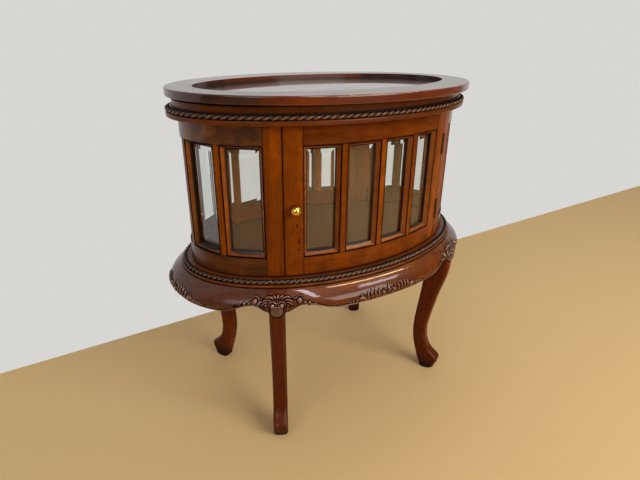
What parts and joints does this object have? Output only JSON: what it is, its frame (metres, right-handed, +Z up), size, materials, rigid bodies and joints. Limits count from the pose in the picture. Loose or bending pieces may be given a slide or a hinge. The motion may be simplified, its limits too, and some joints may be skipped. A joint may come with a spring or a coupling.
{
  "type": "collectors display table",
  "caption": "Oval glazed display cabinet on carved cabriole legs, with a hinged curved glass door and a lift-off tray top.",
  "frame": {"origin": "centre of the overall footprint, on the floor under the feet", "axes": "+Z up, +X along the long axis of the oval to the hinge side of the door, -Y out of the door"},
  "size_m": [0.7822, 0.5202, 0.754],
  "materials": {
    "tray_rim_wood": "satin gloss stained mahogany",
    "tray_panel_wood": "satin gloss stained mahogany",
    "apron_wood": "carved stained mahogany, dark in the hollows",
    "leg_wood": "carved stained mahogany, dark in the hollows",
    "rope_moulding_wood": "twisted rope carving, rubbed on the crests",
    "board_wood": "satin gloss stained mahogany",
    "bead_wood": "satin stained mahogany",
    "rail_wood": "satin gloss mahogany veneer",
    "upright_wood": "satin gloss mahogany",
    "inner_wood": "unfinished glue blocks",
    "bevelled_glass": "clear, bevelled edges",
    "polished_brass": "polished",
    "aged_brass": "aged",
    "steel_hardware": "zinc plated",
    "catch_housing": "matt brown"
  },
  "bodies": {
    "cabinet": {"apron_back": "apron_wood", "apron_front": "apron_wood", "apron_left": "apron_wood", "apron_right": "apron_wood", "back_bottom_rail": "rail_wood", "back_glazing_beads": "bead_wood", "back_left_post": "upright_wood", "back_left_stile": "upright_wood", "back_mullions": "upright_wood", "back_panes": "bevelled_glass", "back_right_post": "upright_wood", "back_right_stile": "upright_wood", "back_top_rail": "rail_wood", "case_floor_board": "board_wood", "case_top_board": "board_wood", "corner_blocks": "inner_wood", "front_left_post": "upright_wood", "front_right_post": "upright_wood", "hinge_leaves_on_case": "aged_brass", "hinge_pins": "aged_brass", "left_end_bottom_rail": "rail_wood", "left_end_glazing_beads": "bead_wood", "left_end_mullions": "upright_wood", "left_end_panes": "bevelled_glass", "left_end_top_rail": "rail_wood", "leg_back_left": "leg_wood", "leg_back_right": "leg_wood", "leg_front_left": "leg_wood", "leg_front_right": "leg_wood", "lower_rope_moulding": "rope_moulding_wood", "magnetic_catch": "catch_housing", "neck_frieze": "board_wood", "right_end_bottom_rail": "rail_wood", "right_end_glazing_beads": "bead_wood", "right_end_mullions": "upright_wood", "right_end_panes": "bevelled_glass", "right_end_top_rail": "rail_wood", "tray_rest_board": "board_wood", "upper_rope_moulding": "rope_moulding_wood"},
    "door": {"catch_strike_plate": "steel_hardware", "door_bottom_rail": "rail_wood", "door_glazing_beads": "bead_wood", "door_hinge_stile": "upright_wood", "door_knob": "polished_brass", "door_lock_stile": "upright_wood", "door_mullions": "upright_wood", "door_panes": "bevelled_glass", "door_top_rail": "rail_wood", "hinge_leaves_on_door": "aged_brass", "knob_screw": "steel_hardware"},
    "tray": {"tray_panel": "tray_panel_wood", "tray_rim_back": "tray_rim_wood", "tray_rim_front": "tray_rim_wood", "tray_rim_left": "tray_rim_wood", "tray_rim_right": "tray_rim_wood"}
  },
  "joints": [
    {"name": "door_swing", "type": "hinge", "parent": "cabinet", "child": "door", "pos_m": [0.20595, -0.16469, 0.5453], "axis": [0, 0, 1], "range_deg": [0, 110]},
    {"name": "tray_lift", "type": "slide", "parent": "cabinet", "child": "tray", "axis": [0, 0, 1], "range_m": [0, 0.12]}
  ]
}
